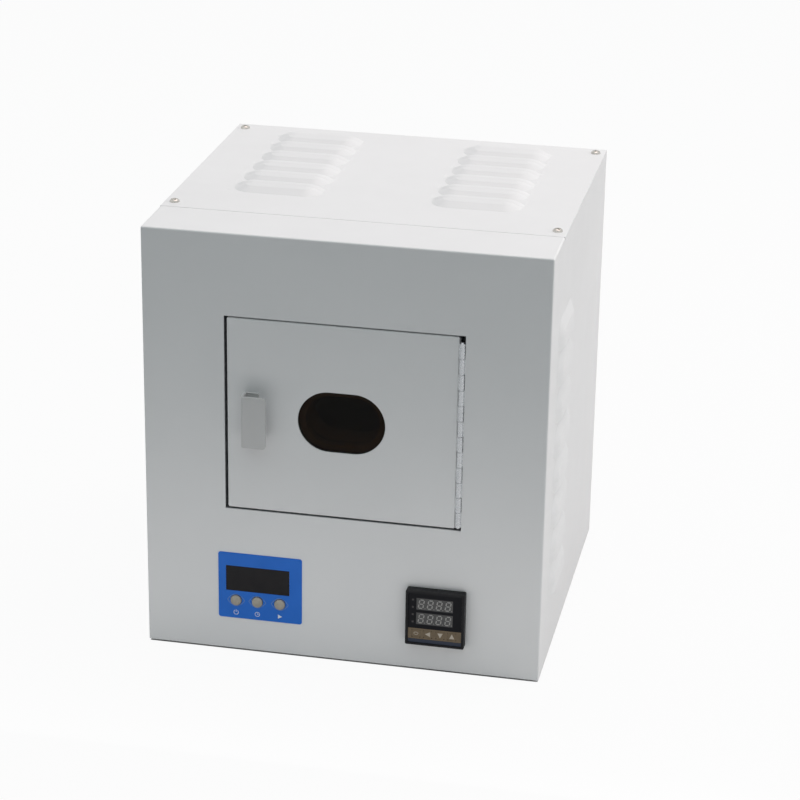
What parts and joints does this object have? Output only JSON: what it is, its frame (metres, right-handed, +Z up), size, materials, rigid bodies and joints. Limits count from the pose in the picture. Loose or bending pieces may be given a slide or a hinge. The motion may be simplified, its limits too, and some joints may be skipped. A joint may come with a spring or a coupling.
{
  "type": "dental porcelain furnace",
  "caption": "Bench furnace with a folded sheet casing, pressed louvres, a hinged door with an obround window over a fibre-lined chamber, a timer and a temperature controller.",
  "frame": {"origin": "under the middle of the overall box, on the surface that the pads rest on", "axes": "+Z up; the door and controls face -Y; +X is the viewer's right, the hinge side"},
  "size_m": [0.3334, 0.317, 0.3632],
  "materials": {
    "casing_paint": "fine satin white powder coat",
    "door_paint": "satin white powder coat",
    "pull_paint": "satin white powder coat",
    "hinge_zinc": "zinc-plated sheet, satin",
    "inner_steel": "galvanised sheet, dull",
    "screw_steel": "bright nickel-plated steel",
    "foot_rubber": "black rubber",
    "window_glass": "dark amber heat-resistant glass",
    "fibre_board": "off-white ceramic fibre",
    "fibre_seal": "woven ceramic rope",
    "hearth_ceramic": "fired ceramic, grainy",
    "coil_wire": "oxidised resistance wire",
    "probe_ceramic": "glazed ceramic tube",
    "magnet": "sintered magnet, matte",
    "controller_black": "fine-grained black moulding",
    "controller_face": "printed film, semi-gloss",
    "controller_window": "smoked window",
    "key_film": "brown printed film",
    "timer_film": "blue printed film",
    "timer_window": "black window film",
    "button_grey": "grey moulded cap",
    "circuit_board": "green solder mask",
    "component_black": "black moulding",
    "heatsink_aluminium": "extruded aluminium",
    "relay_case": "pale grey moulding",
    "prong_brass": "plated brass"
  },
  "bodies": {
    "casing": {"front_shell": "casing_paint", "top_cover": "casing_paint", "rear_panel": "casing_paint", "base_plate": "inner_steel", "foot_pads": "foot_rubber", "cover_screws": "screw_steel", "rear_screws": "screw_steel", "door_frame": "casing_paint", "magnet_catch": "magnet", "hinge_frame_leaf": "hinge_zinc", "hinge_pin": "hinge_zinc", "muffle": "fibre_board", "heating_coils": "coil_wire", "coil_tails": "coil_wire", "hearth_plate": "hearth_ceramic", "insulation_front": "fibre_board", "insulation_rear": "fibre_board", "insulation_slabs": "fibre_board", "insulation_sides": "fibre_board", "inner_casing": "inner_steel", "thermocouple": "probe_ceramic", "thermocouple_head": "probe_ceramic", "front_support": "inner_steel", "rear_support": "inner_steel", "controller_bezel": "controller_black", "controller_face": "controller_face", "controller_windows": "controller_window", "controller_case": "controller_black", "controller_clamp": "controller_black", "timer_overlay": "timer_film", "timer_window": "timer_window", "timer_display": "component_black", "timer_board": "circuit_board", "timer_standoffs": "inner_steel", "timer_switches": "component_black", "heatsink": "heatsink_aluminium", "relay": "relay_case", "terminal_block": "component_black", "power_inlet": "component_black", "inlet_prongs": "prong_brass", "inlet_screws": "screw_steel"},
    "door": {"door_panel": "door_paint", "window_glass": "window_glass", "window_frame": "inner_steel", "door_core": "fibre_board", "door_liner": "inner_steel", "door_plug": "fibre_board", "door_seal": "fibre_seal", "door_pull": "pull_paint", "pull_screws": "screw_steel", "hinge_door_leaf": "hinge_zinc"},
    "button_power": {"button_power": "button_grey"},
    "button_time": {"button_time": "button_grey"},
    "button_start": {"button_start": "button_grey"},
    "key_set": {"key_set": "key_film"},
    "key_shift": {"key_shift": "key_film"},
    "key_down": {"key_down": "key_film"},
    "key_up": {"key_up": "key_film"}
  },
  "joints": [
    {"name": "door_hinge", "type": "hinge", "parent": "casing", "child": "door", "pos_m": [0.0937, -0.1465, 0.209], "axis": [0, 0, 1], "range_deg": [0, 170]},
    {"name": "button_power_press", "type": "slide", "parent": "casing", "child": "button_power", "axis": [0, 1, 0], "range_m": [0, 0.0005], "stiffness_N_per_m": 800, "springref_m": -0.0006},
    {"name": "button_time_press", "type": "slide", "parent": "casing", "child": "button_time", "axis": [0, 1, 0], "range_m": [0, 0.0005], "stiffness_N_per_m": 800, "springref_m": -0.0006},
    {"name": "button_start_press", "type": "slide", "parent": "casing", "child": "button_start", "axis": [0, 1, 0], "range_m": [0, 0.0005], "stiffness_N_per_m": 800, "springref_m": -0.0006},
    {"name": "key_set_press", "type": "slide", "parent": "casing", "child": "key_set", "axis": [0, 1, 0], "range_m": [0, 0.00035], "stiffness_N_per_m": 900, "springref_m": -0.0006},
    {"name": "key_shift_press", "type": "slide", "parent": "casing", "child": "key_shift", "axis": [0, 1, 0], "range_m": [0, 0.00035], "stiffness_N_per_m": 900, "springref_m": -0.0006},
    {"name": "key_down_press", "type": "slide", "parent": "casing", "child": "key_down", "axis": [0, 1, 0], "range_m": [0, 0.00035], "stiffness_N_per_m": 900, "springref_m": -0.0006},
    {"name": "key_up_press", "type": "slide", "parent": "casing", "child": "key_up", "axis": [0, 1, 0], "range_m": [0, 0.00035], "stiffness_N_per_m": 900, "springref_m": -0.0006}
  ]
}
